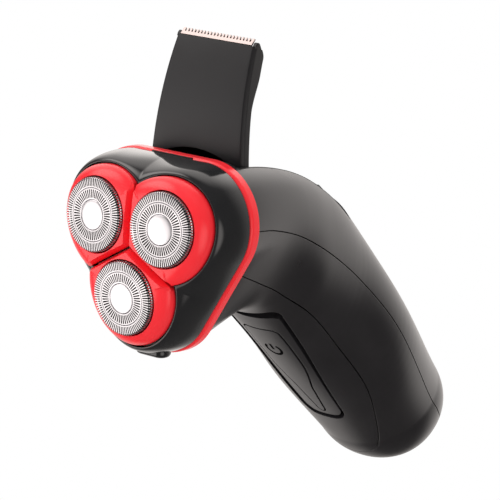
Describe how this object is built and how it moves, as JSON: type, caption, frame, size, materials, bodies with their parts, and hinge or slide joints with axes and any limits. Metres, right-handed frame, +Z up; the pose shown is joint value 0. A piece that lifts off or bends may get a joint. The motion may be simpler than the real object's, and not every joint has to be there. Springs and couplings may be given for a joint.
{
  "type": "electric shaver",
  "caption": "Cordless rotary shaver: angled grip, hinged head with spinning cutters in floating red petals, and a trimmer that folds into the back.",
  "frame": {"origin": "centre of the small flat at the bottom end of the grip, on the face that carries the charging socket", "axes": "+Z up along the grip from that flat, -Y the way the user faces (the shaving face looks forward and up), +X to the shaver's right seen from the front"},
  "size_m": [0.062, 0.0863, 0.1682],
  "materials": {
    "black_shell": "satin black moulded ABS",
    "gloss_black": "polished black ABS",
    "matte_black": "fine-textured black ABS",
    "red_trim": "satin red ABS",
    "dark_plastic": "dark brown-black ABS",
    "foil_steel": "ground and slotted stainless steel",
    "badge_aluminium": "satin spun aluminium",
    "tool_steel": "turned steel",
    "gear_nylon": "natural nylon",
    "motor_steel": "zinc-plated steel can",
    "brass": "plain brass",
    "cell_wrap": "heat-shrink film over a steel can",
    "board_green": "glass-epoxy board with solder mask",
    "frame_grey": "glass-filled nylon"
  },
  "bodies": {
    "grip": {"rear_shell": "black_shell", "side_shell": "black_shell", "front_panel": "black_shell", "button_surround": "matte_black", "inner_frame": "frame_grey", "battery": "cell_wrap", "battery_contact_front": "brass", "battery_contact_rear": "brass", "circuit_board": "board_green", "power_switch": "tool_steel", "charging_socket": "matte_black", "motor_can": "motor_steel", "gearbox_base": "frame_grey", "gear_cover": "dark_plastic", "cover_screw_top": "tool_steel", "cover_screw_left": "tool_steel", "cover_screw_right": "tool_steel", "collar_ring": "red_trim", "head_hinge_pin": "tool_steel", "trimmer_bay": "matte_black", "trimmer_hinge_pin": "tool_steel"},
    "motor_rotor": {"motor_shaft": "tool_steel", "motor_pinion": "brass"},
    "power_button": {"power_button": "gloss_black"},
    "head_release": {"head_release_button": "gloss_black"},
    "head": {"head_cap": "gloss_black", "cutter_frame": "dark_plastic", "petal_spacer": "dark_plastic"},
    "trimmer": {"trimmer_housing": "matte_black", "trimmer_back": "matte_black", "trimmer_fixed_blade": "foil_steel", "trimmer_barrel": "matte_black"},
    "trimmer_comb": {"trimmer_moving_blade": "tool_steel", "trimmer_drive_arm": "gear_nylon"},
    "trimmer_switch": {"trimmer_switch": "gloss_black"},
    "left_gear": {"drive_gear_left": "gear_nylon", "drive_spindle_left": "tool_steel"},
    "left_unit": {"petal_left": "red_trim", "outer_cutter_left": "foil_steel", "cutter_badge_left": "badge_aluminium"},
    "left_blades": {"inner_cutter_left": "tool_steel"},
    "right_gear": {"drive_gear_right": "gear_nylon", "drive_spindle_right": "tool_steel"},
    "right_unit": {"petal_right": "red_trim", "outer_cutter_right": "foil_steel", "cutter_badge_right": "badge_aluminium"},
    "right_blades": {"inner_cutter_right": "tool_steel"},
    "bottom_gear": {"drive_gear_bottom": "gear_nylon", "drive_spindle_bottom": "tool_steel"},
    "bottom_unit": {"petal_bottom": "red_trim", "outer_cutter_bottom": "foil_steel", "cutter_badge_bottom": "badge_aluminium"},
    "bottom_blades": {"inner_cutter_bottom": "tool_steel"}
  },
  "joints": [
    {"name": "motor_spin", "type": "hinge", "parent": "grip", "child": "motor_rotor", "pos_m": [0, -0.02895, 0.14309], "axis": [0, -0.682, 0.7314], "continuous": true},
    {"name": "head_flip", "type": "hinge", "parent": "grip", "child": "head", "pos_m": [0, -0.00831, 0.15761], "axis": [-1, 0, 0], "range_deg": [0, 85]},
    {"name": "trimmer_pivot", "type": "hinge", "parent": "grip", "child": "trimmer", "pos_m": [0, -0.00379, 0.14426], "axis": [-1, 0, 0], "range_deg": [0, 86]},
    {"name": "trimmer_comb_slide", "type": "slide", "parent": "trimmer", "child": "trimmer_comb", "axis": [1, 0, 0], "range_m": [-0.0008, 0.0008]},
    {"name": "power_button_press", "type": "slide", "parent": "grip", "child": "power_button", "axis": [0, 0.9996, 0.0297], "range_m": [0, 0.0008], "stiffness_N_per_m": 600},
    {"name": "head_release_press", "type": "slide", "parent": "grip", "child": "head_release", "axis": [0, 0.7314, 0.682], "range_m": [0, 0.001], "stiffness_N_per_m": 600},
    {"name": "trimmer_switch_slide", "type": "slide", "parent": "grip", "child": "trimmer_switch", "axis": [0, -0.1226, 0.9925], "range_m": [0, 0.0015]},
    {"name": "left_gear_spin", "type": "hinge", "parent": "grip", "child": "left_gear", "pos_m": [-0.01273, -0.02357, 0.1481], "axis": [0, -0.682, 0.7314], "continuous": true},
    {"name": "left_unit_float", "type": "slide", "parent": "head", "child": "left_unit", "axis": [0.0604, 0.6548, -0.7534], "range_m": [0, 0.0008], "stiffness_N_per_m": 800},
    {"name": "left_blades_spin", "type": "hinge", "parent": "left_unit", "child": "left_blades", "pos_m": [-0.01273, -0.03332, 0.15856], "axis": [-0.0604, -0.6548, 0.7534], "continuous": true},
    {"name": "right_gear_spin", "type": "hinge", "parent": "grip", "child": "right_gear", "pos_m": [0.01273, -0.02357, 0.1481], "axis": [0, -0.682, 0.7314], "continuous": true},
    {"name": "right_unit_float", "type": "slide", "parent": "head", "child": "right_unit", "axis": [-0.0604, 0.6548, -0.7534], "range_m": [0, 0.0008], "stiffness_N_per_m": 800},
    {"name": "right_blades_spin", "type": "hinge", "parent": "right_unit", "child": "right_blades", "pos_m": [0.01273, -0.03332, 0.15856], "axis": [0.0604, -0.6548, 0.7534], "continuous": true},
    {"name": "bottom_gear_spin", "type": "hinge", "parent": "grip", "child": "bottom_gear", "pos_m": [0, -0.0397, 0.13306], "axis": [0, -0.682, 0.7314], "continuous": true},
    {"name": "bottom_unit_float", "type": "slide", "parent": "head", "child": "bottom_unit", "axis": [0, 0.7314, -0.682], "range_m": [0, 0.0008], "stiffness_N_per_m": 800},
    {"name": "bottom_blades_spin", "type": "hinge", "parent": "bottom_unit", "child": "bottom_blades", "pos_m": [0, -0.04945, 0.14352], "axis": [0, -0.7314, 0.682], "continuous": true}
  ],
  "couplings": [
    {"joint": "left_gear_spin", "follows": "motor_spin", "ratio": -0.4},
    {"joint": "left_blades_spin", "follows": "motor_spin", "ratio": -0.4},
    {"joint": "right_gear_spin", "follows": "motor_spin", "ratio": -0.4},
    {"joint": "right_blades_spin", "follows": "motor_spin", "ratio": -0.4},
    {"joint": "bottom_gear_spin", "follows": "motor_spin", "ratio": -0.4},
    {"joint": "bottom_blades_spin", "follows": "motor_spin", "ratio": -0.4}
  ]
}
